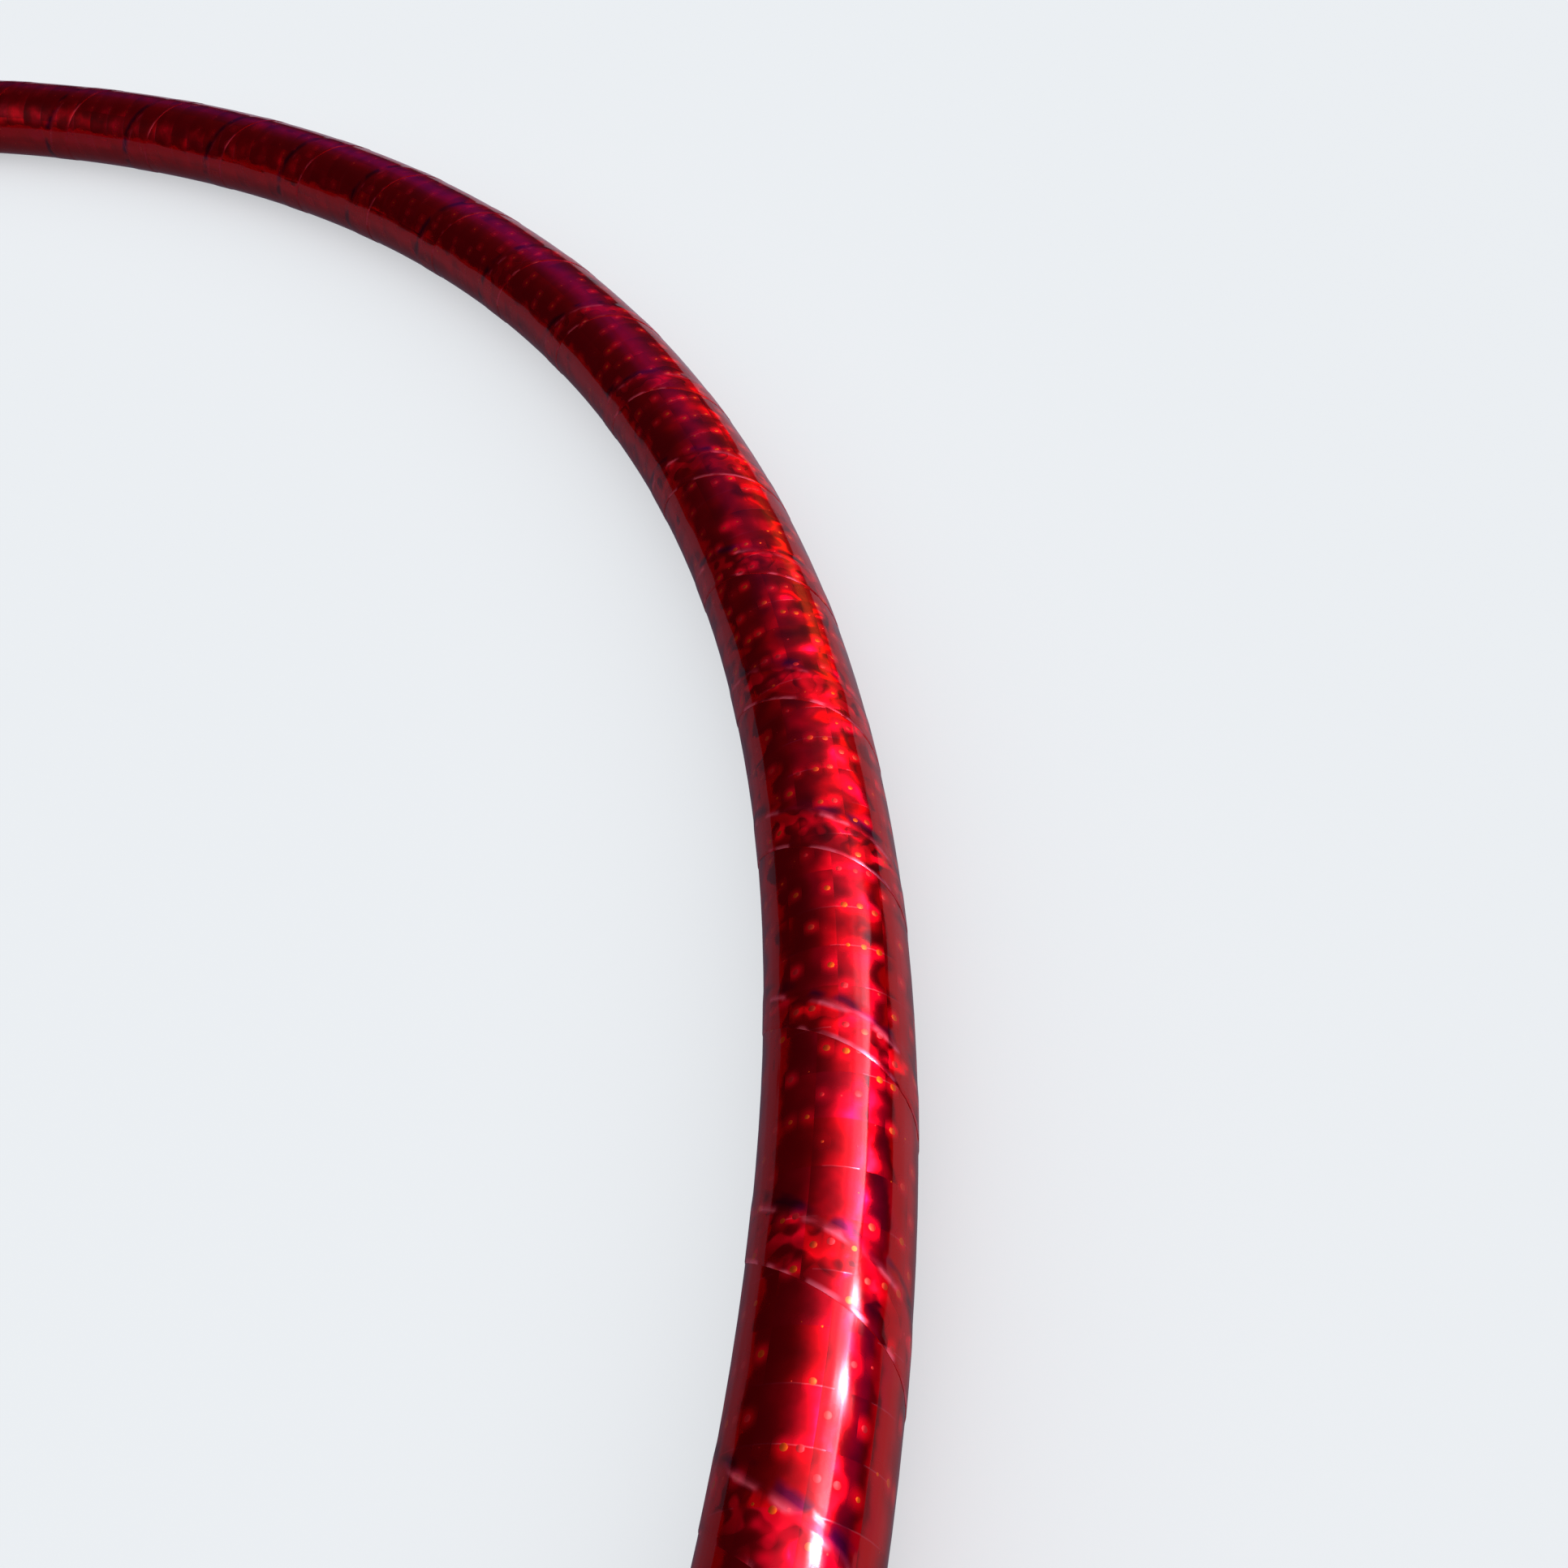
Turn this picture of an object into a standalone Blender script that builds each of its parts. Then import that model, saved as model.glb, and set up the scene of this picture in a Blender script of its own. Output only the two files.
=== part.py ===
"""Rhythmic gymnastics hoop: a plastic tube bent into a ring, joined by a riveted plug and wound with film.

Metres, +Z up. The ring lies flat: its axis is +Z, and the origin is its centre on the surface it lies on.
The tube's joint is on the -X side.
"""

import math

import bmesh
import bpy
from mathutils import Matrix, Vector

# Driving dimensions
OUTSIDE_DIAMETER = 0.750  # of the ring, over the film
TAPED_DIAMETER = 0.019  # of the tube's section, over the film
FILM_THICKNESS = 0.00025  # the film with its overlaps, as one even skin
TUBE_WALL = 0.0017
FIT_GAP = 0.0003  # left between pieces that touch

# The joint
JOINT_ANGLE = math.pi
PLUG_LENGTH = 0.084
PLUG_STEP_DEPTH = 0.0007  # from the top of a rib down to the plug's body
RIBS_PER_END = 4
RIVET_SETBACK = 0.021  # from the joint to each rivet, along the tube
RIVET_HEAD_RADIUS = 0.0030
RIVET_HEAD_DEPTH = 0.0010
RIVET_SHANK_RADIUS = 0.0016
RIVET_LENGTH = 0.0095
RIVET_TIP_CHAMFER = 0.0005
HOLE_MOUTH = 0.0010  # how far a rivet's cutter stands out of the tube

# Facets
SECTION_SIDES = 12
RING_STEPS = 96
BAND_STEPS = 2
PLUG_SECTION_DETAIL = 4  # bevel resolution, which gives the plug 12 sides
RIVET_SIDES = 20

# Worked out from the above
TAPED_RADIUS = TAPED_DIAMETER / 2
RING_RADIUS = OUTSIDE_DIAMETER / 2 - TAPED_RADIUS  # to the middle of the tube
MIDDLE_HEIGHT = TAPED_RADIUS
TUBE_RADIUS = TAPED_RADIUS - FILM_THICKNESS - FIT_GAP
BORE_RADIUS = TUBE_RADIUS - TUBE_WALL
PLUG_RIB_RADIUS = BORE_RADIUS - FIT_GAP
STEP_ANGLE = math.tau / RING_STEPS
GAP_ANGLE = FIT_GAP / RING_RADIUS
BAND_ANGLE = BAND_STEPS * STEP_ANGLE
WELD_DISTANCE = 0.00001


def clear_scene():
    for obj in list(bpy.data.objects):
        bpy.data.objects.remove(obj, do_unlink=True)


def new_collection(name):
    collection = bpy.data.collections.new(name)
    bpy.context.scene.collection.children.link(collection)
    return collection


def material(name, color, roughness, metallic):
    made = bpy.data.materials.new(name)
    made.use_nodes = True
    shader = made.node_tree.nodes["Principled BSDF"]
    shader.inputs["Base Color"].default_value = (*color, 1.0)
    shader.inputs["Roughness"].default_value = roughness
    shader.inputs["Metallic"].default_value = metallic
    return made


def white_plastic():
    return material("tube_plastic", (0.80, 0.80, 0.78), 0.45, 0.0)


def grey_plastic():
    return material("plug_plastic", (0.20, 0.20, 0.21), 0.50, 0.0)


def rivet_aluminium():
    return material("rivet_aluminium", (0.78, 0.79, 0.80), 0.30, 1.0)


def red_film():
    return material("red_film", (0.38, 0.01, 0.04), 0.22, 0.8)


def band_film():
    return material("band_film", (0.30, 0.01, 0.03), 0.25, 0.8)


def new_object(name, data, collection, finish=None):
    obj = bpy.data.objects.new(name, data)
    collection.objects.link(obj)
    if finish:
        data.materials.append(finish)
    return obj


def ring_point(angle, radius=RING_RADIUS):
    return Vector((radius * math.cos(angle), radius * math.sin(angle), MIDDLE_HEIGHT))


def add_screw(obj, angle, steps):
    screw = obj.modifiers.new("Turn", "SCREW")
    screw.axis = "Z"
    screw.angle = angle
    screw.steps = steps
    screw.render_steps = steps
    return screw


def bent_tube(name, outer_radius, wall, start, sweep, steps, collection, finish):
    """A hollow tube along an arc of the ring: a round section turned about +Z, its wall grown inwards.

    The section's flats, not its corners, lie at outer_radius, so its underside is flat.
    """
    corner_radius = outer_radius / math.cos(math.pi / SECTION_SIDES)
    stand_up = Matrix.Rotation(math.pi / 2, 4, "X")
    half_side = Matrix.Rotation(math.pi / SECTION_SIDES, 4, "Z")
    section = bmesh.new()
    bmesh.ops.create_circle(
        section,
        cap_ends=False,
        segments=SECTION_SIDES,
        radius=corner_radius,
        matrix=Matrix.Translation(ring_point(0)) @ stand_up @ half_side,
    )
    mesh = bpy.data.meshes.new(name)
    section.to_mesh(mesh)
    section.free()
    obj = new_object(name, mesh, collection, finish)
    obj.rotation_euler.z = start
    add_screw(obj, sweep, steps).use_smooth_shade = False
    shell = obj.modifiers.new("Wall", "SOLIDIFY")
    shell.thickness = wall
    shell.offset = -1
    shell.use_even_offset = True
    return obj


def turned(name, profile, collection, finish=None):
    """A solid of revolution about its own Z, from (radius, height) points that run from top to bottom."""
    mesh = bpy.data.meshes.new(name)
    points = [(radius, 0, height) for radius, height in profile]
    mesh.from_pydata(points, [(i, i + 1) for i in range(len(points) - 1)], [])
    obj = new_object(name, mesh, collection, finish)
    screw = add_screw(obj, math.tau, RIVET_SIDES)
    screw.use_merge_vertices = True
    screw.merge_threshold = WELD_DISTANCE
    return obj


def cut(obj, cutter):
    boolean = obj.modifiers.new("Cut " + cutter.name, "BOOLEAN")
    boolean.operation = "DIFFERENCE"
    boolean.solver = "EXACT"
    boolean.object = cutter


def make_tube(parts):
    """One length of tube, nearly a full turn: its ends meet at the joint."""
    sweep = math.tau - GAP_ANGLE
    start = JOINT_ANGLE + GAP_ANGLE / 2
    return bent_tube("hoop_tube", TUBE_RADIUS, TUBE_WALL, start, sweep, RING_STEPS, parts, white_plastic())


def make_tape(parts):
    """The winding as one even skin, from one edge of the joint band round to the other."""
    start = JOINT_ANGLE + BAND_ANGLE / 2 + GAP_ANGLE / 2
    sweep = math.tau - BAND_ANGLE - GAP_ANGLE
    steps = RING_STEPS - BAND_STEPS
    return bent_tube(
        "holographic_tape", TAPED_RADIUS, FILM_THICKNESS, start, sweep, steps, parts, red_film()
    )


def make_band(parts):
    """The straight wrap of film over the joint, flush with the winding."""
    start = JOINT_ANGLE - BAND_ANGLE / 2 + GAP_ANGLE / 2
    sweep = BAND_ANGLE - GAP_ANGLE
    return bent_tube("joint_band", TAPED_RADIUS, FILM_THICKNESS, start, sweep, BAND_STEPS, parts, band_film())


def plug_outline():
    """(distance along the tube, radius) from end to end: low saw-tooth ribs that rise towards the joint."""
    half = PLUG_LENGTH / 2
    body_radius = PLUG_RIB_RADIUS - PLUG_STEP_DEPTH
    rib_pitch = half / (RIBS_PER_END + 1)
    step_run = PLUG_STEP_DEPTH / 2
    one_end = [(half, body_radius - PLUG_STEP_DEPTH)]
    for rib in range(RIBS_PER_END):
        outer_edge = half - (rib + 0.25) * rib_pitch
        one_end.append((outer_edge, body_radius))
        one_end.append((outer_edge - 0.6 * rib_pitch, PLUG_RIB_RADIUS))
        one_end.append((outer_edge - 0.6 * rib_pitch - step_run, body_radius))
    return [(-along, radius) for along, radius in one_end] + one_end[::-1]


def make_plug(parts):
    """The curved insert that fills the tube's bore on both sides of the joint."""
    outline = plug_outline()
    curve = bpy.data.curves.new("plug_route", "CURVE")
    curve.dimensions = "3D"
    curve.bevel_depth = PLUG_RIB_RADIUS
    curve.bevel_resolution = PLUG_SECTION_DETAIL
    curve.use_fill_caps = True
    route = curve.splines.new("POLY")
    route.points.add(len(outline) - 1)
    for point, (along, radius) in zip(route.points, outline):
        point.co = (*ring_point(JOINT_ANGLE + along / RING_RADIUS), 1)
        point.radius = radius / PLUG_RIB_RADIUS
    rod = new_object("plug_rod", curve, parts)
    evaluated = rod.evaluated_get(bpy.context.evaluated_depsgraph_get())
    mesh = bpy.data.meshes.new_from_object(evaluated)
    solid = bmesh.new()
    solid.from_mesh(mesh)
    bmesh.ops.remove_doubles(solid, verts=solid.verts, dist=WELD_DISTANCE)
    bmesh.ops.recalc_face_normals(solid, faces=solid.faces)
    solid.to_mesh(mesh)
    solid.free()
    mesh.materials.clear()
    plug = new_object("joint_plug", mesh, parts, grey_plastic())
    plug.matrix_world = rod.matrix_world
    bpy.data.objects.remove(rod, do_unlink=True)
    return plug


def rivet_profile(growth=0.0, top=0.0):
    """A flush-headed rivet below its head's top face, grown sideways and down for the hole that it sits in."""
    head = RIVET_HEAD_RADIUS + growth
    shank = RIVET_SHANK_RADIUS + growth
    head_bottom = -RIVET_HEAD_DEPTH - growth
    tip = -RIVET_LENGTH - growth
    return [
        (0, top),
        (head, top),
        (head, head_bottom),
        (shank, head_bottom),
        (shank, tip + RIVET_TIP_CHAMFER),
        (shank - RIVET_TIP_CHAMFER, tip),
        (0, tip),
    ]


def place_rivet(rivet, along):
    """Its head's top face lies just under the tube's surface on the ring's inner side, facing its centre."""
    angle = JOINT_ANGLE + along / RING_RADIUS
    inwards = -Vector((math.cos(angle), math.sin(angle), 0))
    rivet.location = ring_point(angle) + inwards * (TUBE_RADIUS - FIT_GAP)
    rivet.rotation_mode = "QUATERNION"
    rivet.rotation_quaternion = inwards.to_track_quat("Z", "Y")


def make_rivets(parts, cutters, tube, plug):
    finish = rivet_aluminium()
    for number, side in enumerate((-1, 1), start=1):
        along = side * RIVET_SETBACK
        rivet = turned(f"joint_rivet_{number}", rivet_profile(), parts, finish)
        place_rivet(rivet, along)
        hole = turned(f"rivet_hole_{number}", rivet_profile(FIT_GAP, HOLE_MOUTH), cutters)
        place_rivet(hole, along)
        hole.hide_render = True
        hole.display_type = "WIRE"
        cut(tube, hole)
        cut(plug, hole)


def main():
    clear_scene()
    parts = new_collection("rhythmic_hoop")
    cutters = new_collection("cutters")
    tube = make_tube(parts)
    plug = make_plug(parts)
    make_rivets(parts, cutters, tube, plug)
    make_tape(parts)
    make_band(parts)


main()
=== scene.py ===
"""The looks of the rhythmic hoop: red prismatic film wound round its tube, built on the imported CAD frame.

Distances are in metres. Along the hoop runs from the tube's joint; round the section runs from outward to up.
"""

import math

import bpy
import numpy as np
from mathutils import Matrix, Vector


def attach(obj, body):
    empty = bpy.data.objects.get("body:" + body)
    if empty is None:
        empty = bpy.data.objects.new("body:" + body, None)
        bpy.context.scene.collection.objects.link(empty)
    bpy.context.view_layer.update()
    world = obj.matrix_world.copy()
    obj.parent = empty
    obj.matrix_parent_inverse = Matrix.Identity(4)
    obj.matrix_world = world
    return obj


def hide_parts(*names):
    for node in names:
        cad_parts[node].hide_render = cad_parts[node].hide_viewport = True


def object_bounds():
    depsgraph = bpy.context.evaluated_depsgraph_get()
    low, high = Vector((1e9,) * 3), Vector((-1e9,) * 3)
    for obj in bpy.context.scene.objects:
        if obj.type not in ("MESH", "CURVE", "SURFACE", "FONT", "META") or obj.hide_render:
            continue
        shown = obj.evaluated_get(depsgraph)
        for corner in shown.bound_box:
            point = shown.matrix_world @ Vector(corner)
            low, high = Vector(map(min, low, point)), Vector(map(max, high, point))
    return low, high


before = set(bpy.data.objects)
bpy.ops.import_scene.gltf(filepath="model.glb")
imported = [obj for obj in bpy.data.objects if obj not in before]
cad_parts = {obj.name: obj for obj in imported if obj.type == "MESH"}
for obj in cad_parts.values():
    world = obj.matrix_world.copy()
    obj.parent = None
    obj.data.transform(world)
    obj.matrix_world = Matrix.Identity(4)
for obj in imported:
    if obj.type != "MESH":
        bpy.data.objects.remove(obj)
CAD_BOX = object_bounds()

# Sizes from the CAD frame
LOW, HIGH = CAD_BOX
OUTSIDE_RADIUS = (HIGH.y - LOW.y) / 2
SECTION_RADIUS = (HIGH.z - LOW.z) / 2
RING_RADIUS = OUTSIDE_RADIUS - SECTION_RADIUS
MIDDLE_HEIGHT = (HIGH.z + LOW.z) / 2
CIRCUMFERENCE = math.tau * RING_RADIUS
JOINT_ANGLE = math.pi
SHARP_ANGLE = math.radians(40)  # steeper edges than this aren't shaded smooth

# The winding
TURNS = 75
PITCH = CIRCUMFERENCE / TURNS  # along the tube, from one turn to the next
PHASE = 0.285  # of a turn, where the first turn starts
WANDER = 0.0006  # along the tube, the size of each of the two waves by which hand winding strays
WANDER_RATES = (2.3, 1.1)  # radians a turn
WANDER_SHIFT = 1.0  # radians, of the slower wave
OVERLAP = 0.0066  # along the tube
STRIP = PITCH + OVERLAP  # the strip's width, measured along the tube
FILM = 0.00008  # thickness
LAYER_GAP = 0.00001
DRAPE = 0.0026  # how far the film takes to come down from the edge it covers
PRESSED = 0.35  # of the film's thickness, at the cut edge on top
END_INSET = 0.0002
SLIVER = 0.00002  # kept between columns where the joint cuts the strip short
TURN_STEPS = 38

# Columns of points across the strip: where each lies, then how far it is edge or ridge, fold, and double
NEAR_EDGE = (  # from the edge on top
    (0.0000, 1.0, 0.0, 0.0),
    (0.0003, 0.8, 0.0, 0.0),
    (0.0008, 0.0, 0.0, 0.3),
    (0.0035, 0.0, 0.0, 1.0),
)
RIDGE = (  # from the edge that it covers
    (-0.0008, 0.0, 0.0, 1.0),
    (-0.0002, 0.8, 0.0, 0.5),
    (0.0004, 0.3, 0.5, 0.0),
    (0.0010, 0.0, 1.0, 0.0),
    (0.0016, 0.0, 1.0, 0.0),
    (0.0022, 0.0, 0.5, 0.0),
    (DRAPE, 0.0, 0.0, 0.0),
    (DRAPE + 0.003, 0.0, 0.0, 0.0),
)
REST = (0.0180, 0.0236, STRIP - 0.008, STRIP)  # from the edge on top, all plain

# The band over the joint
BAND_LENGTH = 0.046
BAND_WRAP = math.tau + math.radians(48)
BAND_START = math.radians(150)  # the lap lies on the ring's inner side
BAND_STEPS = 96
BAND_EDGE = 0.0005  # between the columns nearest each side edge
BAND_PLAIN = 0.8  # of its half length, where the evenly spaced columns end
BAND_COLUMNS = 9
LAP_LEAD = math.radians(14)  # how far before its own start the band begins to rise
LAP_RISE = math.radians(12)

# The tube
TUBE_OUT = SECTION_RADIUS - 0.00025
TUBE_WALL = 0.0020
TUBE_END_GAP = 0.0003
TUBE_STATIONS = 361
TUBE_SIDES = 40
RIVET_SETBACK = 0.021  # from the joint to each rivet, along the tube
RIVET_HOLE_SIDES = 48
HEAD_HOLE = 0.0033  # radius
SHANK_HOLE = 0.0019  # radius
HEAD_SEAT = 0.00735  # out from the tube's middle
CUTTER_CLEAR = 0.001


def link_new(name, data):
    obj = bpy.data.objects.new(name, data)
    bpy.context.scene.collection.objects.link(obj)
    return obj


def mesh_object(name, points, faces):
    mesh = bpy.data.meshes.new(name)
    mesh.from_pydata(points.tolist(), [], faces)
    mesh.polygons.foreach_set("use_smooth", [True] * len(mesh.polygons))
    mesh.set_sharp_from_angle(angle=SHARP_ANGLE)
    return link_new(name, mesh)


def on_ring(along, around, out):
    """Points of the bent tube: along it from the joint, around its section, out from its middle."""
    turn = JOINT_ANGLE + along / RING_RADIUS
    reach = RING_RADIUS + out * np.cos(around)
    height = MIDDLE_HEIGHT + out * np.sin(around)
    return np.stack([reach * np.cos(turn), reach * np.sin(turn), height], axis=-1)


def grid_faces(rows, columns):
    """Quads between rows of points, each row joined up on itself."""
    faces = []
    for row in range(rows - 1):
        for column in range(columns):
            beside = (column + 1) % columns
            here = row * columns
            faces.append((here + column, here + beside, here + columns + beside, here + columns + column))
    return faces


def smooth_step(x):
    x = np.clip(x, 0.0, 1.0)
    return x * x * (3 - 2 * x)


def both_sides(values):
    """Values for the film's top, then for its underside on the way back."""
    return np.concatenate([values, values[::-1]])


def closed_strip(name, rows, flat):
    """A mesh from rows of points that each go round the film's section, with both ends closed."""
    columns = len(rows[0])
    faces = grid_faces(len(rows), columns)
    end = (len(rows) - 1) * columns
    for j in range(columns // 2 - 1):
        k = columns - 1 - j
        faces.append((j + 1, j, k, k - 1))
        faces.append((end + j, end + j + 1, end + k - 1, end + k))
    obj = mesh_object(name, np.concatenate(rows), faces)
    add_flat_map(obj, np.concatenate(flat))
    return obj


def add_flat_map(obj, flat):
    """A UV map in metres: the film rolled out flat, along the hoop and round its tube."""
    layer = obj.data.uv_layers.new(name="film")
    corners = np.empty(len(obj.data.loops), np.int32)
    obj.data.loops.foreach_get("vertex_index", corners)
    layer.data.foreach_set("uv", flat[corners].astype(np.float32).ravel())


def add_mask(obj, name, values, rows):
    """A number from 0 to 1 for each point, the same across every row."""
    layer = obj.data.attributes.new(name=name, type="FLOAT", domain="POINT")
    layer.data.foreach_set("value", np.tile(both_sides(values), rows).astype(np.float32))


def winding_start(turn):
    """Where along the tube the strip's near edge is, after so many turns."""
    fast, slow = WANDER_RATES
    return (turn + PHASE) * PITCH + WANDER * (math.sin(fast * turn) + math.sin(slow * turn + WANDER_SHIFT))


def make_winding():
    """The strip of film: each turn lies on the last turn's far edge and drapes down from it."""
    near_edge, ridge = np.array(NEAR_EDGE), np.array(RIDGE)
    plain = np.zeros((len(REST), 3))
    edge, fold, double = np.concatenate([near_edge[:, 1:], ridge[:, 1:], plain]).T
    thickness = np.where(np.arange(len(edge)) == 0, PRESSED, 1.0)
    low_out = SECTION_RADIUS - 2 * FILM - LAYER_GAP
    first, last = END_INSET, CIRCUMFERENCE - END_INSET
    sliver = SLIVER * np.arange(len(edge))
    rows = []
    flat = []
    for turn in np.arange(-2 * TURN_STEPS, (TURNS + 1) * TURN_STEPS) / TURN_STEPS:
        start = winding_start(turn)
        cover = winding_start(turn - 1) + STRIP - start
        across = np.concatenate([near_edge[:, 0], cover + ridge[:, 0], REST])
        least, most = first - start, last - start
        if least + sliver[-1] > STRIP - END_INSET or most - sliver[-1] < END_INSET:
            continue
        place = np.minimum(np.maximum(across, least + sliver), most - sliver[::-1])
        around = np.full_like(place, math.tau * turn)
        lift = 1 - smooth_step((place - cover) / DRAPE)
        under = low_out + (FILM + LAYER_GAP) * lift
        top = on_ring(start + place, around, under + FILM * thickness)
        bottom = on_ring(start + place, around, under)
        rows.append(np.concatenate([top, bottom[::-1]]))
        flat.append(both_sides(np.stack([start + place, SECTION_RADIUS * around], axis=-1)))
    obj = closed_strip("film_winding", rows, flat)
    for name, values in (("edge", edge), ("fold", fold), ("double", double)):
        add_mask(obj, name, values, len(rows))
    return obj


def make_band():
    """A short straight wrap of film over the joint, lapped over its own start."""
    half = BAND_LENGTH / 2
    side = np.array([0.0, BAND_EDGE, 2 * BAND_EDGE]) - half
    plain = np.linspace(-BAND_PLAIN, BAND_PLAIN, BAND_COLUMNS) * half
    along = np.concatenate([side, plain, -side[::-1]])
    side_edge = np.interp(np.abs(along), [half - 2 * BAND_EDGE, half - BAND_EDGE], [0.0, 1.0])
    around = np.linspace(0, BAND_WRAP, BAND_STEPS)
    second = smooth_step((around - math.tau + LAP_LEAD) / LAP_RISE)
    inner = SECTION_RADIUS + LAYER_GAP + (FILM + LAYER_GAP) * second
    rows = []
    flat = []
    for turn, under in zip(around, inner):
        angle = np.full_like(along, BAND_START + turn)
        top = on_ring(along, angle, under + FILM)
        bottom = on_ring(along, angle, under)
        rows.append(np.concatenate([top, bottom[::-1]]))
        flat.append(both_sides(np.stack([along, np.full_like(along, turn * SECTION_RADIUS)], axis=-1)))
    obj = closed_strip("film_band", rows, flat)
    add_mask(obj, "edge", side_edge, len(rows))
    return obj


def rivet_cutter(along):
    """The space of a flush-headed rivet, from outside the ring's inner side to the middle of the bore."""
    turn = JOINT_ANGLE + along / RING_RADIUS
    outward = np.array([math.cos(turn), math.sin(turn), 0.0])
    side = np.array([-math.sin(turn), math.cos(turn), 0.0])
    up = np.array([0.0, 0.0, 1.0])
    middle = RING_RADIUS * outward + MIDDLE_HEIGHT * up
    outline = (
        (HEAD_HOLE, SECTION_RADIUS + CUTTER_CLEAR),
        (HEAD_HOLE, HEAD_SEAT),
        (SHANK_HOLE, HEAD_SEAT),
        (SHANK_HOLE, 0.0),
    )
    around = np.linspace(0, math.tau, RIVET_HOLE_SIDES, endpoint=False)[:, None]
    rim = side * np.cos(around) + up * np.sin(around)
    points = np.concatenate([middle - outward * out + rim * radius for radius, out in outline])
    faces = grid_faces(len(outline), RIVET_HOLE_SIDES)
    faces.append(tuple(reversed(range(RIVET_HOLE_SIDES))))
    faces.append(tuple(range(len(points) - RIVET_HOLE_SIDES, len(points))))
    return mesh_object("rivet_cutter", points, faces)


def drill(obj, cutters):
    """Cuts the holes into the mesh itself, and removes the cutters."""
    for cutter in cutters:
        hole = obj.modifiers.new("hole", "BOOLEAN")
        hole.operation = "DIFFERENCE"
        hole.solver = "EXACT"
        hole.object = cutter
    drilled = obj.evaluated_get(bpy.context.evaluated_depsgraph_get())
    mesh = bpy.data.meshes.new_from_object(drilled)
    obj.modifiers.clear()
    obj.data = mesh
    mesh.set_sharp_from_angle(angle=SHARP_ANGLE)
    for cutter in cutters:
        bpy.data.objects.remove(cutter)


def make_tube():
    """The bent plastic tube, open at its two butted ends, with its two rivet holes."""
    stations = np.linspace(TUBE_END_GAP / 2, CIRCUMFERENCE - TUBE_END_GAP / 2, TUBE_STATIONS)
    around = np.linspace(math.tau, 0, TUBE_SIDES, endpoint=False)
    outer = [on_ring(np.full_like(around, s), around, TUBE_OUT) for s in stations]
    inner = [on_ring(np.full_like(around, s), around, TUBE_OUT - TUBE_WALL) for s in stations[::-1]]
    rows = outer + inner
    faces = grid_faces(len(rows), TUBE_SIDES)
    back = (len(rows) - 1) * TUBE_SIDES
    for j in range(TUBE_SIDES):
        beside = (j + 1) % TUBE_SIDES
        faces.append((back + j, back + beside, beside, j))
    tube = mesh_object("tube_bent", np.concatenate(rows), faces)
    drill(tube, [rivet_cutter(-RIVET_SETBACK), rivet_cutter(RIVET_SETBACK)])
    return tube


class Graph:
    """A short way to write a node tree."""

    def __init__(self, tree):
        self.tree = tree

    def connect(self, socket, value):
        """Links a socket to another's output, or sets its own value."""
        if isinstance(value, bpy.types.NodeSocket):
            self.tree.links.new(value, socket)
        else:
            socket.default_value = value

    def add(self, kind, inputs=None, **settings):
        node = self.tree.nodes.new(kind)
        for key, value in settings.items():
            setattr(node, key, value)
        self.feed(node, inputs or {})
        return node

    def feed(self, node, inputs):
        for key, value in inputs.items():
            self.connect(node.inputs[key], value)

    def math(self, operation, *values):
        return self.add("ShaderNodeMath", dict(enumerate(values)), operation=operation).outputs[0]

    def times(self, value, *others):
        for other in others:
            value = self.math("MULTIPLY", value, other)
        return value

    def vector(self, operation, *values, out=0, **more):
        node = self.add("ShaderNodeVectorMath", dict(enumerate(values)), operation=operation)
        self.feed(node, more)
        return node.outputs[out]

    def length(self, value):
        return self.vector("LENGTH", value, out=1)

    def dot(self, value, other):
        return self.vector("DOT_PRODUCT", value, other, out=1)

    def scaled(self, value, scale):
        return self.vector("SCALE", value, Scale=scale)

    def split(self, value):
        return self.add("ShaderNodeSeparateXYZ", {0: value}).outputs

    def join(self, x=0.0, y=0.0, z=0.0):
        return self.add("ShaderNodeCombineXYZ", {0: x, 1: y, 2: z}).outputs[0]

    def object_place(self):
        return self.add("ShaderNodeTexCoord").outputs["Object"]

    def random(self, value):
        """Three even random numbers from 0 to 1 for each value of a vector."""
        return self.add("ShaderNodeTexWhiteNoise", {"Vector": value}, noise_dimensions="3D").outputs["Color"]

    def centred(self, even):
        """Numbers from 0 to 1, spread to -1 to 1."""
        return self.vector("MULTIPLY_ADD", even, (2, 2, 2), (-1, -1, -1))

    def noise(self, place, scale=1.0, detail=0.0, dimensions="3D"):
        inputs = {"Vector": place, "Scale": scale, "Detail": detail}
        return self.add("ShaderNodeTexNoise", inputs, noise_dimensions=dimensions).outputs

    def mix_color(self, factor, a, b):
        node = self.add("ShaderNodeMix", data_type="RGBA", blend_type="MIX")
        self.feed(node, {0: factor, 6: a, 7: b})
        return node.outputs[2]

    def remap(self, value, low, high, to_low=0.0, to_high=1.0):
        """A smooth rise or fall between two values, level outside them."""
        inputs = {0: value, 1: low, 2: high, 3: to_low, 4: to_high}
        return self.add("ShaderNodeMapRange", inputs, clamp=True, interpolation_type="SMOOTHSTEP").outputs[0]


def new_material(name, graph_type=Graph):
    made = bpy.data.materials.new(name)
    made.use_nodes = True
    return made, graph_type(made.node_tree), made.node_tree.nodes["Principled BSDF"]


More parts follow.
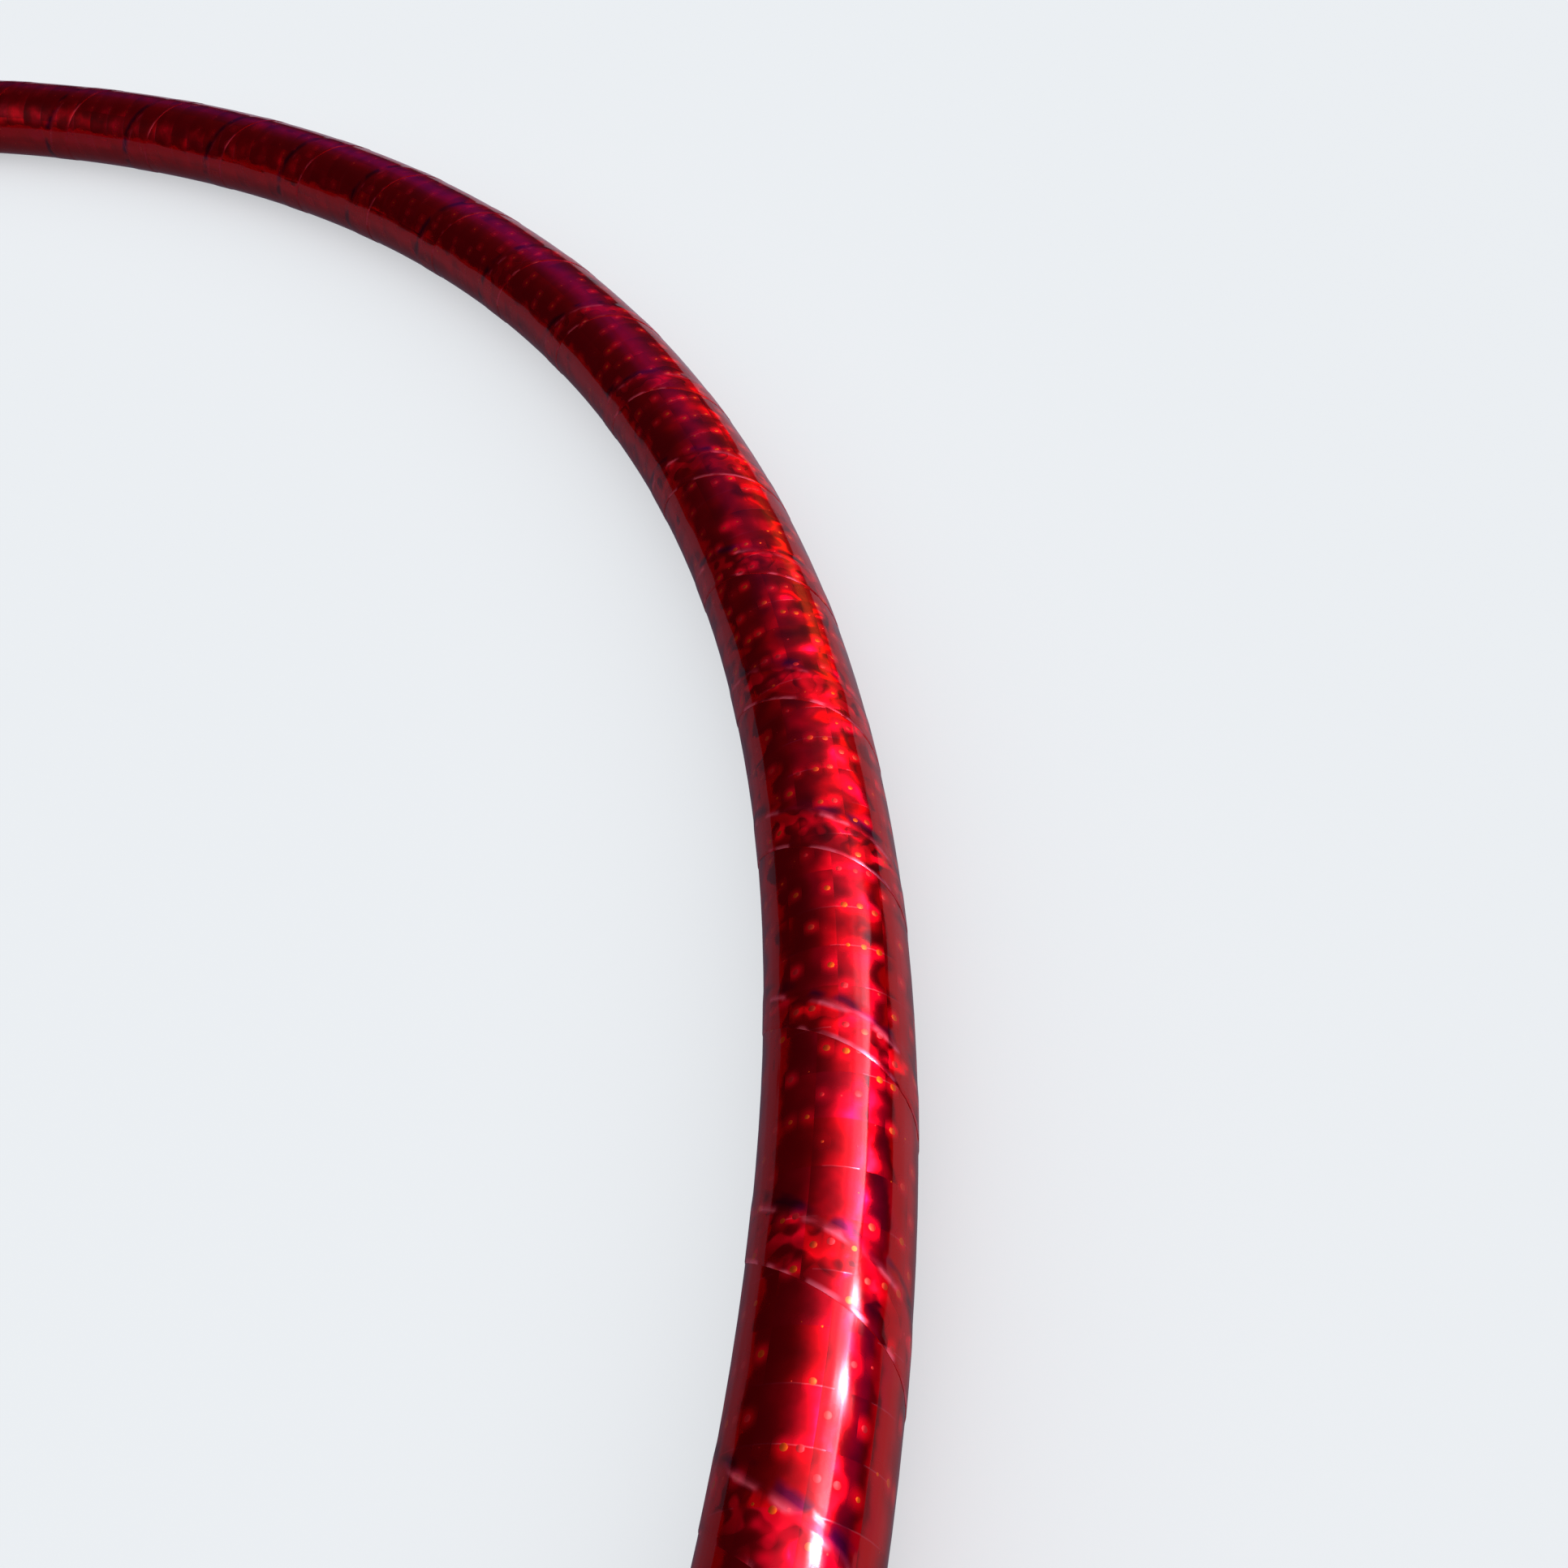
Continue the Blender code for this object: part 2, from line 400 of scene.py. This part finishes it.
# The film's pattern. Tilts are in radians while small, and scales in features per metre.
# A pair called patches gives the values of a noise between which something fades in.
TILE = 0.00635  # a quarter-inch mosaic
TILE_TILT = 0.04
TILE_DOME = 0.05
TILE_ROUGH = (0.16, 0.24)
TILE_CRIMSON = 0.7  # how far the most crimson tile goes from red
DOTS_PER_TILE = 3  # along a tile's border
DOT_SPACING = TILE / DOTS_PER_TILE
DOT_RADIUS = 0.00045
DOT_STRAY = (0.06, 0.15)  # of the space between dots, along the hoop and round its tube
DOT_SIZES = (-0.7, 0.4)  # the random numbers that give no dot and a full dot
DOT_SHADES = (-0.6, 0.6)  # the random numbers that give an orange dot and a red dot
DOT_LEAST = 0.2  # of a dot's size on fresh film, on worn film
DOT_SEED = (17.0, 5.0, 0.0)
DOT_DOME = 0.20
DOT_SMALLEST = 0.0001  # radius, below which a dot gets no steeper
DOT_ROUGH = 0.46
HALO_RADIUS = 0.0020
HALO_ROUGH = 0.42
DASH_WIDTH = 0.00016
DASH_LENGTH = 2 * DOT_SPACING
DASH_SHIFT = 0.3  # of its length, round the tube
DASH_SHARE = 0.4  # of the places along a border
DASH_STRENGTH = 0.5
BUMP = 0.0042
BUMP_TILT = (0.10, 0.38)  # where the film is smooth, and where it is creased
CREASE_WAVES = 9  # round the hoop, from smooth film to creased film and back
CREASE_PHASE = math.radians(72)
FRESH_WAVES = 3  # round the hoop, from fresh film to worn film and back
FRESH_PHASE = math.radians(120)
WRINKLE = 0.0024
WRINKLE_TILT = 0.36
WRINKLE_PATCHES = (0.45, 0.60)
WRINKLE_HAZE = 0.32  # roughness added in the lumps of the double film
FINE_SCALE = 700.0
FINE_TILT = 0.04
AIR_SCALE = 260.0
AIR_PATCHES = (0.44, 0.62)
AIR_LEAST = 0.05
AIR_WORN = 0.3  # on worn film, of what it is on fresh film
AIR_ROUGH = 0.15
AIR_METALLIC = 0.86
BLOTCH_SCALE = 240.0
BLOTCH_PATCHES = (0.40, 0.60)

# The clear face over the pattern
SCUFF_SCALES = (25.0, 1100.0, 0)  # along the hoop and round its tube
SCUFF_TILT = 0.055
WAVE_SCALE = 110.0
WAVE_TILT = 0.03
FACE_ROUGH = 0.06
FACE_IOR = 1.37

FILM_RED = (0.85, 0.002, 0.008, 1)
FILM_CRIMSON = (0.85, 0.002, 0.030, 1)
FILM_TINT = (0.7, 0.06, 0.10, 1)  # of what it mirrors at a grazing angle
DOT_ORANGE = (1.0, 0.17, 0.012, 1)
DOT_RED = (1.0, 0.05, 0.05, 1)
DASH_PINK = (0.95, 0.12, 0.14, 1)
FOLD_VIOLET = (0.22, 0.002, 0.06, 1)
AIR_PINK = (0.85, 0.16, 0.22, 1)


class FilmGraph(Graph):
    """The film's nodes, all laid out on the film rolled flat."""

    def __init__(self, tree):
        super().__init__(tree)
        self.flat = self.add("ShaderNodeUVMap", uv_map="film").outputs[0]
        self.edge, self.fold, self.double = (self.mask(name) for name in ("edge", "fold", "double"))
        self.fresh = self.swing(FRESH_WAVES, FRESH_PHASE)

    def mask(self, name):
        return self.add("ShaderNodeAttribute", attribute_name=name).outputs["Fac"]

    def swing(self, waves, phase):
        """A slow wave round the hoop, from 0 to 1."""
        along, _, _ = self.split(self.flat)
        wave = self.math("SINE", self.math("MULTIPLY_ADD", along, waves / RING_RADIUS, phase))
        return self.math("MULTIPLY_ADD", wave, 0.5, 0.5)

    def worn(self, least):
        """1 on fresh film, falling to the least on worn film."""
        return self.math("MULTIPLY_ADD", self.fresh, 1 - least, least)

    def film_noise(self, scale, detail=0.0):
        return self.noise(self.scaled(self.flat, scale), detail=detail, dimensions="2D")

    def in_cell(self, place):
        """A place as its offset from the middle of its unit square."""
        return self.vector("SUBTRACT", self.vector("FRACTION", place), (0.5, 0.5, 0.0))

    def sway(self, noise, along, round_it):
        """A noise as a tilt, at most so much along the hoop and round its tube."""
        size, start = (2 * along, 2 * round_it, 0), (-along, -round_it, 0)
        return self.vector("MULTIPLY_ADD", noise["Color"], size, start)

    def tilted(self, tilt):
        """A surface normal leant by a tilt along the hoop and round its tube."""
        along, round_it, _ = self.split(tilt)
        half = (0.5, 0.5, 0.5)
        color = self.vector("MULTIPLY_ADD", self.join(along, round_it, 1.0), half, half)
        return self.add("ShaderNodeNormalMap", {"Color": color}, space="TANGENT", uv_map="film").outputs[0]

    def tiles(self):
        """Square tiles, each domed a little and leaning its own way: their tilt, and their random numbers."""
        place = self.scaled(self.flat, 1 / TILE)
        even = self.random(self.vector("FLOOR", place))
        lean = self.scaled(self.centred(even), TILE_TILT)
        dome = self.scaled(self.in_cell(place), TILE_DOME * 2)
        return self.vector("ADD", lean, dome), self.split(even)

    def dots(self):
        """Small domed dots in rows along the tiles' borders, every second row set off by half a tile.

        Gives where the dots are, the halo round each, their tilt, and a random number for their colour.
        """
        place = self.scaled(self.flat, 1 / TILE)
        _, row, _ = self.split(place)
        set_off = self.times(self.math("FLOORED_MODULO", self.math("FLOOR", row), 2.0), 0.5)
        place = self.vector("ADD", place, self.join(set_off))
        place = self.vector("MULTIPLY_ADD", place, (1, DOTS_PER_TILE, 0), (0.5, 0.0, 0.0))
        seed = self.vector("ADD", self.vector("FLOOR", place), DOT_SEED)
        x, y, pick = self.split(self.centred(self.random(seed)))
        stray_x, stray_y = DOT_STRAY
        stray = self.join(self.times(x, stray_x), self.times(y, stray_y))
        off = self.vector("SUBTRACT", self.in_cell(place), stray)
        off = self.vector("MULTIPLY", off, (TILE, DOT_SPACING, 0))
        far = self.length(off)
        share = self.times(self.remap(pick, *DOT_SIZES), self.worn(DOT_LEAST))
        size = self.times(share, DOT_RADIUS)
        inside = self.math("LESS_THAN", far, size)
        halo = self.times(self.remap(far, 0.0, HALO_RADIUS, 1.0, 0.0), share)
        slope = self.math("DIVIDE", DOT_DOME, self.math("MAXIMUM", size, DOT_SMALLEST))
        return inside, halo, self.scaled(off, self.times(inside, slope)), y

    def dashes(self):
        """Broken lines round the tube along the tiles' borders."""
        per_metre = (1 / TILE, 1 / DASH_LENGTH, 0)
        place = self.vector("MULTIPLY_ADD", self.flat, per_metre, (0.5, DASH_SHIFT, 0.0))
        _, _, pick = self.split(self.random(self.vector("FLOOR", place)))
        off = self.vector("ABSOLUTE", self.scaled(self.in_cell(place), TILE))
        on_line = self.math("LESS_THAN", self.split(off)[0], DASH_WIDTH / 2)
        return self.times(on_line, self.math("GREATER_THAN", pick, 1 - DASH_SHARE))

    def creases(self):
        """The tilt of the film's soft bumps, which come and go round the hoop."""
        smooth, rumpled = BUMP_TILT
        creased = self.times(self.fresh, self.swing(CREASE_WAVES, CREASE_PHASE))
        size = self.math("MULTIPLY_ADD", creased, rumpled - smooth, smooth)
        return self.scaled(self.sway(self.film_noise(1 / BUMP), 1, 1), size)

    def wrinkles(self):
        """The tilt of the wrinkles where the film is double, and the haze in their lumps."""
        noise = self.film_noise(1 / WRINKLE)
        size = self.times(self.double, self.fresh)
        haze = self.times(size, self.remap(noise["Fac"], *WRINKLE_PATCHES))
        return self.scaled(self.sway(noise, WRINKLE_TILT, WRINKLE_TILT), size), haze

    def air(self):
        """Patches along the edges where air lies under the film and it looks paler."""
        patchy = self.remap(self.film_noise(AIR_SCALE, detail=1.0)["Fac"], *AIR_PATCHES, AIR_LEAST, 1.0)
        return self.times(self.edge, patchy, self.worn(AIR_WORN))

    def clear_face(self):
        """The coat's normal: fine scuffs along the hoop, and soft waves."""
        stretched = self.vector("MULTIPLY", self.flat, SCUFF_SCALES)
        scuff = self.noise(stretched, detail=1.0, dimensions="2D")
        wave = self.film_noise(WAVE_SCALE)
        return self.tilted(self.vector("ADD", self.sway(scuff, 0, SCUFF_TILT), self.sway(wave, 0, WAVE_TILT)))


def film_material():
    """Metallised prismatic film under a clear face."""
    made, g, shader = new_material("red_film", FilmGraph)
    tile_tilt, (tile_shade, _, tile_pick) = g.tiles()
    in_dot, halo, dot_tilt, dot_pick = g.dots()
    wrinkle_tilt, haze = g.wrinkles()
    air = g.air()

    creases = g.vector("ADD", g.creases(), wrinkle_tilt)
    creases = g.scaled(creases, g.math("SUBTRACT", 1.0, in_dot))
    tilt = g.vector("ADD", tile_tilt, dot_tilt)
    tilt = g.vector("ADD", tilt, g.sway(g.film_noise(FINE_SCALE, detail=1.0), FINE_TILT, FINE_TILT))
    tilt = g.vector("ADD", tilt, creases)
    tilt = g.scaled(tilt, g.math("SUBTRACT", 1.0, g.edge))

    blotch = g.remap(g.film_noise(BLOTCH_SCALE, detail=1.0)["Fac"], *BLOTCH_PATCHES)
    color = g.mix_color(g.times(tile_shade, TILE_CRIMSON), FILM_RED, FILM_CRIMSON)
    color = g.mix_color(g.times(g.fold, blotch), color, FOLD_VIOLET)
    color = g.mix_color(g.times(g.dashes(), DASH_STRENGTH), color, DASH_PINK)
    dot_color = g.mix_color(g.remap(dot_pick, *DOT_SHADES), DOT_ORANGE, DOT_RED)
    color = g.mix_color(in_dot, color, dot_color)
    color = g.mix_color(air, color, AIR_PINK)

    rough = g.remap(tile_pick, 0.0, 1.0, *TILE_ROUGH)
    rough = g.math("MULTIPLY_ADD", halo, HALO_ROUGH, rough)
    rough = g.math("MULTIPLY_ADD", haze, WRINKLE_HAZE, rough)
    rough = g.add("ShaderNodeMix", {0: in_dot, 2: rough, 3: DOT_ROUGH}).outputs[0]
    rough = g.math("MULTIPLY_ADD", air, AIR_ROUGH, rough)

    g.feed(shader, {
        "Base Color": color,
        "Roughness": rough,
        "Metallic": g.remap(air, 0.0, 1.0, 1.0, AIR_METALLIC),
        "Normal": g.tilted(tilt),
        "Specular Tint": FILM_TINT,
        "Coat Weight": 1.0,
        "Coat Roughness": FACE_ROUGH,
        "Coat IOR": FACE_IOR,
        "Coat Normal": g.clear_face(),
    })
    return made


# The pieces under the film
TUBE_WHITE = (0.80, 0.80, 0.78, 1)
PLUG_GREY = (0.20, 0.20, 0.21, 1)
ALUMINIUM = (0.70, 0.71, 0.72, 1)
ALUMINIUM_BRIGHT = (0.90, 0.90, 0.91, 1)
CLOUDING = (0.3, 0.7)  # the values of a noise between which roughness rises
PLASTIC_DARKER = 0.82
PLASTIC_ROUGH = 0.08  # how far its roughness varies each way
PLASTIC_BUMP = 0.0002
PLASTIC_BUMP_STRENGTH = 0.15
METAL_LINES = (400.0, 400.0, 4000.0)  # a metre, along X, Y and Z
METAL_ROUGH = (0.22, 0.42)


def plastic_material(name, color, grain, roughness):
    """Moulded or extruded plastic, a little cloudy."""
    made, g, shader = new_material(name)
    cloud = g.noise(g.object_place(), grain, detail=4.0)["Fac"]
    darker = tuple(PLASTIC_DARKER * c for c in color[:3]) + (1.0,)
    bump = {"Height": cloud, "Strength": PLASTIC_BUMP_STRENGTH, "Distance": PLASTIC_BUMP}
    g.feed(shader, {
        "Base Color": g.mix_color(cloud, darker, color),
        "Roughness": g.remap(cloud, *CLOUDING, roughness - PLASTIC_ROUGH, roughness + PLASTIC_ROUGH),
        "Normal": g.add("ShaderNodeBump", bump).outputs[0],
    })
    return made


def metal_material(name, color, bright):
    """Metal with fine drawn lines."""
    made, g, shader = new_material(name)
    stretched = g.vector("MULTIPLY", g.object_place(), METAL_LINES)
    lines = g.noise(stretched, detail=3.0)["Fac"]
    g.feed(shader, {
        "Base Color": g.mix_color(lines, color, bright),
        "Roughness": g.remap(lines, *CLOUDING, *METAL_ROUGH),
        "Metallic": 1.0,
    })
    return made


# The studio
FLOOR_SIZE = 40.0
FLOOR_DROP = 0.0003
PAPER = ((0.79, 0.82, 0.85, 1), (0.81, 0.84, 0.87, 1))
PAPER_CLOUDS = 2.0  # a metre
PAPER_ROUGH = 0.9
LIT_FROM_BELOW = 0.6  # the floor is a light table, which keeps the shadow faint
FROM_BELOW = 1.04  # brightness
PAINTED_FLOOR_GLOW = 0.38  # how bright the floor looks in the hoop: a painted glow that stands in for the lit floor
SHADED_INSIDE_MIRRORED = 0.15  # the same, inside the ring: a painted shade
MIRRORED_CONTACT_SHADOW = 0.4  # of that, beside the tube: a painted contact shadow
FAR_MIRRORED = 0.1  # of that, far from the hoop
FAR_FADE = (0.6, 1.3)  # from the ring's axis
CONTACT_SHADOW_FADE = (0.6 * SECTION_RADIUS, 3.0 * SECTION_RADIUS)  # from under the tube's middle, where the painted contact shadow starts to fade and where it is gone
RING_EDGE = 0.02  # from the tube's middle, where inside turns to outside
# Tints of the painted glow that the hoop mirrors, inside and outside the ring
GLOW_TINT_INSIDE = (1.0, 0.8, 1.15, 1)
GLOW_TINT_OUTSIDE = (1.0, 0.85, 1.05, 1)
BACKDROP = (0.83, 0.863, 0.896, 1)
OVERHEAD_ANGLE = math.radians(140)
OVERHEAD_ENERGY = 3.25

# What the hoop mirrors of it. Azimuth runs from +X towards +Y, and angles are in degrees here. Each light
# is its azimuth, elevation, spread and brightness.
COSINE_LIMIT = 0.99999  # nearly 1, which keeps the arc cosine in range
ARC_CENTRE = (-53.3, 11.2)
ARC_RADIUS = 30.8
ARC_EDGE = (-2.0, 2.0)  # past its radius, where it starts to show and where it is brightest
ARC_FADE = 10.0
ARC_BRIGHTNESS = 9.0
ARC_PEAK = (-48.0, 42.0)
ARC_REACH = (14.0, 33.0)  # from its peak, where the arc starts to fade and where it ends
LAMPS = ((-48.7, 48.0, 0.25, 170), (-47.0, 47.2, 0.25, 170), (-42.0, 41.8, 0.40, 140), (-38.9, 37.8, 0.3, 90))
LAMP_LEAN = math.radians(27)
LAMP_TALL = 4.0
OTHER_LIGHTS = ((0, 90, 11, 0.7), (150, 38, 14, 1.0), (205, 30, 16, 1.1))
WHITE_TINT = (1.0, 0.88, 1.06)
BIG_LIGHTS = ((-40, 50, 19, 1.35), (0, 40, 30, 0.07))
BIG_TINT = (1.0, 0.4, 0.6)
BIG_BELOW_ARC = 0.12
BIG_EDGE = (-6.0, 4.0)  # past the arc's radius
DIM_RED = (0.035, 0.004, 0.012)
TINTED_LIGHTS = (
    ((1.0, 0.12, 0.02), (-5, 13, 5, 2.3)),
    ((0.35, 0.0, 1.0), (30, 24, 9, 0.25)),
    ((0.5, 0.0, 1.0), (-50, 22, 9, 0.32)),
)


def floor_material():
    """Pale matt paper. What the hoop mirrors of it is a painted glow, not the lit paper: dimmer, dimmest
    inside the ring as painted shade, with a painted contact shadow beside the tube.
    """
    made, g, shader = new_material("floor_paper")
    place = g.object_place()
    color = g.mix_color(g.noise(place, PAPER_CLOUDS, detail=2.0)["Fac"], *PAPER)
    g.feed(shader, {"Base Color": color, "Roughness": PAPER_ROUGH, "Specular IOR Level": 0.0})
    reach = g.length(place)
    inner, outer = RING_RADIUS - RING_EDGE, RING_RADIUS + RING_EDGE
    from_tube = g.math("ABSOLUTE", g.math("SUBTRACT", reach, RING_RADIUS))
    # The painted glow's brightness: painted shade inside the ring, a painted contact shadow beside the tube,
    # and a fade far from the hoop
    brightness = g.times(
        g.remap(reach, inner, outer, SHADED_INSIDE_MIRRORED, PAINTED_FLOOR_GLOW),
        g.remap(reach, *FAR_FADE, 1.0, FAR_MIRRORED),
        g.remap(from_tube, *CONTACT_SHADOW_FADE, MIRRORED_CONTACT_SHADOW, 1.0),
    )
    tint = g.mix_color(g.remap(reach, inner, outer), GLOW_TINT_INSIDE, GLOW_TINT_OUTSIDE)
    # The floor as the hoop mirrors it: a painted glow, not the lit paper
    painted_reflection_glow = g.add("ShaderNodeEmission", {"Color": tint, "Strength": brightness}).outputs[0]
    from_below = g.add("ShaderNodeEmission", {"Color": color, "Strength": FROM_BELOW}).outputs[0]
    lit = g.add("ShaderNodeMixShader", {0: LIT_FROM_BELOW, 1: shader.outputs[0], 2: from_below}).outputs[0]
    # Glossy rays see the painted glow; other rays see the lit paper
    glossy = g.add("ShaderNodeLightPath").outputs["Is Glossy Ray"]
    surface = g.add("ShaderNodeMixShader", {0: glossy, 1: lit, 2: painted_reflection_glow}).outputs[0]
    g.feed(made.node_tree.nodes["Material Output"], {"Surface": surface})
    made.cycles.emission_sampling = "NONE"
    return made


def make_floor():
    bpy.ops.mesh.primitive_plane_add(size=FLOOR_SIZE, location=(0, 0, LOW.z - FLOOR_DROP))
    floor = bpy.context.active_object
    floor.name = "floor"
    floor.data.materials.append(floor_material())


def toward(azimuth, elevation):
    """The unit vector of a direction given in degrees."""
    azimuth, elevation = math.radians(azimuth), math.radians(elevation)
    level = math.cos(elevation)
    return Vector((level * math.cos(azimuth), level * math.sin(azimuth), math.sin(elevation)))


class Sky(Graph):
    """The studio round the hoop, as a brightness for each direction."""

    def __init__(self, tree):
        super().__init__(tree)
        self.way = self.add("ShaderNodeTexCoord").outputs["Generated"]

    def angle_from(self, azimuth, elevation):
        """How far each direction is from another, in degrees."""
        cosine = self.math("MINIMUM", self.dot(self.way, toward(azimuth, elevation)), COSINE_LIMIT)
        return self.times(self.math("ARCCOSINE", cosine), math.degrees(1))

    def glow(self, azimuth, elevation, spread, brightness):
        """A soft round light."""
        far = self.math("DIVIDE", self.angle_from(azimuth, elevation), spread)
        return self.times(self.math("EXPONENT", self.times(far, far, -0.5)), brightness)

    def lamp(self, azimuth, elevation, wide, brightness):
        """A narrow soft lamp, tall and leaning."""
        right = toward(azimuth + 90, 0)
        up = toward(azimuth, elevation + 90)
        across = (right * math.cos(LAMP_LEAN) - up * math.sin(LAMP_LEAN)) * math.degrees(1) / wide
        along = (right * math.sin(LAMP_LEAN) + up * math.cos(LAMP_LEAN)) * math.degrees(1) / LAMP_TALL
        across, along = self.dot(self.way, across), self.dot(self.way, along)
        far = self.math("ADD", self.times(across, across), self.times(along, along))
        facing = self.math("GREATER_THAN", self.dot(self.way, toward(azimuth, elevation)), 0.0)
        return self.times(self.math("EXPONENT", self.times(far, -0.5)), facing, brightness)

    def total(self, *lights):
        result = lights[0]
        for light in lights[1:]:
            result = self.math("ADD", result, light)
        return result

    def tinted(self, light, tint, brightness):
        """A light with more of one colour added."""
        return self.vector("ADD", light, self.scaled(tint, brightness))


def make_world():
    """What the hoop mirrors: a dark studio, a large soft light on one side and dimmer ones on the others.

    The large light's lower edge is a bright arc with narrow lamps along it. The camera sees only a pale
    backdrop.
    """
    world = bpy.data.worlds.new("studio")
    bpy.context.scene.world = world
    world.use_nodes = True
    sky = Sky(world.node_tree)

    above = sky.math("GREATER_THAN", sky.split(sky.way)[2], 0.0)
    past_arc = sky.math("SUBTRACT", sky.angle_from(*ARC_CENTRE), ARC_RADIUS)
    over_arc = sky.remap(past_arc, *ARC_EDGE)
    arc = sky.math("EXPONENT", sky.times(sky.math("MAXIMUM", past_arc, 0.0), -1 / ARC_FADE))
    arc = sky.times(arc, over_arc, sky.remap(sky.angle_from(*ARC_PEAK), *ARC_REACH, ARC_BRIGHTNESS, 0.0))
    lamps = [sky.lamp(*lamp) for lamp in LAMPS]
    others = [sky.glow(*light) for light in OTHER_LIGHTS]
    white = sky.times(sky.total(arc, *lamps, *others), above)
    big = sky.total(*[sky.glow(*light) for light in BIG_LIGHTS])
    big = sky.times(big, sky.remap(past_arc, *BIG_EDGE, BIG_BELOW_ARC, 1.0), above)
    light = sky.tinted(DIM_RED, WHITE_TINT, white)
    light = sky.tinted(light, BIG_TINT, big)
    for tint, place in TINTED_LIGHTS:
        light = sky.tinted(light, tint, sky.glow(*place))

    studio = sky.add("ShaderNodeBackground", {"Color": light, "Strength": 1.0}).outputs[0]
    backdrop = sky.add("ShaderNodeBackground", {"Color": BACKDROP, "Strength": 1.0}).outputs[0]
    seen = sky.add("ShaderNodeLightPath").outputs["Is Camera Ray"]
    both = sky.add("ShaderNodeMixShader", {0: seen, 1: studio, 2: backdrop}).outputs[0]
    sky.feed(world.node_tree.nodes["World Output"], {"Surface": both})
    world.cycles_visibility.diffuse = False


def make_lights():
    """One very soft light from above for the floor and the plastics. It doesn't show in the film."""
    data = bpy.data.lights.new("overhead", "SUN")
    data.angle = OVERHEAD_ANGLE
    data.energy = OVERHEAD_ENERGY
    link_new("overhead", data).visible_glossy = False


CAMERA_BACK = 0.4063  # from the ring's axis, towards -Y
CAMERA_HEIGHT = 0.1820
CAMERA_LENS = 40.47
CAMERA_YAW = math.radians(-62.72)
CAMERA_PITCH = math.radians(-43.35)
CAMERA_ROLL = math.radians(-10.59)


def make_camera():
    data = bpy.data.cameras.new("camera")
    data.lens = CAMERA_LENS
    data.sensor_width = 36.0
    data.clip_start = 0.01
    turn = (
        Matrix.Rotation(CAMERA_YAW, 4, "Z")
        @ Matrix.Rotation(math.pi / 2 + CAMERA_PITCH, 4, "X")
        @ Matrix.Rotation(CAMERA_ROLL, 4, "Z")
    )
    camera = link_new("camera", data)
    camera.matrix_world = Matrix.Translation((0, -CAMERA_BACK, CAMERA_HEIGHT)) @ turn
    bpy.context.scene.camera = camera


def make_pieces():
    film = film_material()
    white_plastic = plastic_material("tube_plastic", TUBE_WHITE, grain=60.0, roughness=0.45)
    pieces = (
        (make_winding(), film, "holographic_tape", "red_film"),
        (make_band(), film, "joint_band", "band_film"),
        (make_tube(), white_plastic, "hoop_tube", "tube_plastic"),
    )
    for piece, finish, node, slot in pieces:
        piece.data.materials.append(finish)
        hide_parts(node)
        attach(piece, "root")


def finish_cad_nodes():
    """Better materials for the pieces that stay as CAD made them."""
    plug = plastic_material("plug_plastic", PLUG_GREY, grain=200.0, roughness=0.5)
    rivet = metal_material("rivet_aluminium", ALUMINIUM, ALUMINIUM_BRIGHT)
    for node, finish in (("joint_plug", plug), ("joint_rivet_1", rivet), ("joint_rivet_2", rivet)):
        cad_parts[node].data.materials.clear()
        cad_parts[node].data.materials.append(finish)


def main():
    make_camera()
    make_floor()
    make_world()
    make_lights()
    bpy.context.scene.view_settings.view_transform = "Standard"
    make_pieces()
    finish_cad_nodes()


main()
